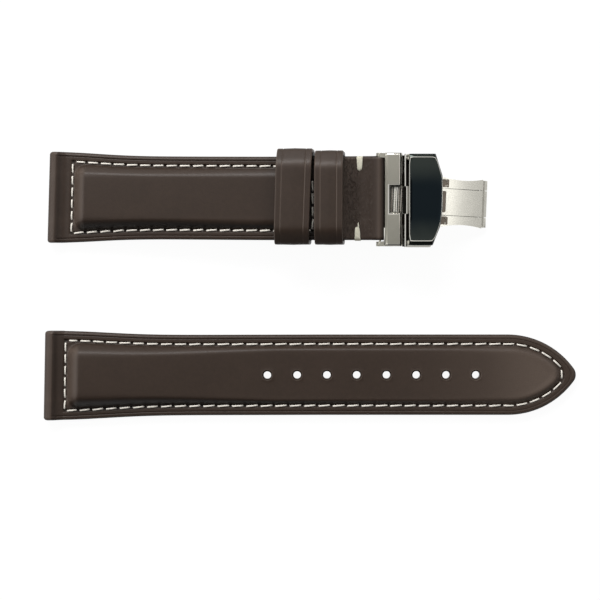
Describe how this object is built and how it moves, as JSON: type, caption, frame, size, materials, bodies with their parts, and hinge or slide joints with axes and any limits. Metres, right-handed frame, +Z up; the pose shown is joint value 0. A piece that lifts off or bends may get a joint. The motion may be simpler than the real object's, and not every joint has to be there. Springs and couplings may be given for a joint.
{
  "type": "watch strap",
  "caption": "Padded leather watch strap in two halves, laid flat, with two keepers and a closed double folding clasp.",
  "frame": {"origin": "middle of the strap's footprint on the table", "axes": "+X along the strap towards the point, +Y from the long half to the short half, +Z up"},
  "size_m": [0.1178, 0.0596, 0.0136],
  "materials": {
    "strap_leather": "smooth calf leather with a soft sheen",
    "lining_leather": "plain matt lining leather",
    "filler": "bonded leather board",
    "thread": "waxed linen thread",
    "bar_steel": "turned",
    "spring_steel": "drawn wire",
    "pin_steel": "turned",
    "brushed_steel": "fine lengthwise brushing",
    "satin_steel": "satin",
    "polished_steel": "mirror polish that shows dark"
  },
  "bodies": {
    "base": {"base_plate": "brushed_steel", "left_base_pin": "pin_steel", "right_base_pin": "pin_steel"},
    "left_wing": {"left_wing": "brushed_steel"},
    "left_frame": {"left_frame": "satin_steel", "left_frame_pin": "pin_steel", "bar_tube": "bar_steel", "bar_spring": "spring_steel"},
    "short_half": {"short_upper": "strap_leather", "short_filler": "filler", "short_lining": "lining_leather", "short_stitching": "thread", "loop_tacks": "thread", "fixed_keeper": "strap_leather"},
    "free_keeper": {"free_keeper": "strap_leather"},
    "plunger_north": {"bar_plunger_north": "bar_steel"},
    "plunger_south": {"bar_plunger_south": "bar_steel"},
    "right_wing": {"right_wing": "brushed_steel"},
    "right_frame": {"right_frame": "satin_steel", "right_frame_pin": "pin_steel", "prong": "bar_steel", "cover_pin_north": "pin_steel", "cover_pin_south": "pin_steel"},
    "cover": {"cover": "polished_steel"},
    "tail_half": {"tail_upper": "strap_leather", "tail_filler": "filler", "tail_lining": "lining_leather", "tail_stitching": "thread"}
  },
  "joints": [
    {"name": "left_wing_hinge", "type": "hinge", "parent": "base", "child": "left_wing", "pos_m": [0.0025, 0.0193, 0.001], "axis": [0, -1, 0], "range_deg": [0, 150]},
    {"name": "left_frame_hinge", "type": "hinge", "parent": "left_wing", "child": "left_frame", "pos_m": [0.0192, 0.0193, 0.0072], "axis": [0, -1, 0], "range_deg": [-154, 0]},
    {"name": "strap_hinge", "type": "hinge", "parent": "left_frame", "child": "short_half", "pos_m": [0.0152, 0.0193, 0.00829], "axis": [0, 1, 0], "range_deg": [0, 70]},
    {"name": "keeper_slide", "type": "slide", "parent": "short_half", "child": "free_keeper", "axis": [0.9952, 0, 0.0976], "range_m": [-0.03, 0]},
    {"name": "plunger_north_slide", "type": "slide", "parent": "left_frame", "child": "plunger_north", "axis": [0, 1, 0], "range_m": [-0.001, 0], "stiffness_N_per_m": 300, "springref_m": 0.002, "deforming": ["bar_spring"]},
    {"name": "plunger_south_slide", "type": "slide", "parent": "left_frame", "child": "plunger_south", "axis": [0, -1, 0], "range_m": [-0.001, 0], "stiffness_N_per_m": 300, "springref_m": 0.002, "deforming": ["bar_spring"]},
    {"name": "right_wing_hinge", "type": "hinge", "parent": "base", "child": "right_wing", "pos_m": [0.0383, 0.0193, 0.001], "axis": [0, 1, 0], "range_deg": [0, 150]},
    {"name": "right_frame_hinge", "type": "hinge", "parent": "right_wing", "child": "right_frame", "pos_m": [0.0216, 0.0193, 0.0072], "axis": [0, 1, 0], "range_deg": [-150, 0]},
    {"name": "cover_hinge", "type": "hinge", "parent": "right_frame", "child": "cover", "pos_m": [0.02154, 0.0193, 0.01037], "axis": [0, -1, 0], "range_deg": [0, 90]},
    {"name": "tail_lift", "type": "slide", "parent": "base", "child": "tail_half", "axis": [0, 0, 1], "range_m": [0, 0.03]}
  ],
  "couplings": [
    {"joint": "left_frame_hinge", "follows": "left_wing_hinge", "ratio": -1.02},
    {"joint": "right_frame_hinge", "follows": "right_wing_hinge", "ratio": -1}
  ]
}
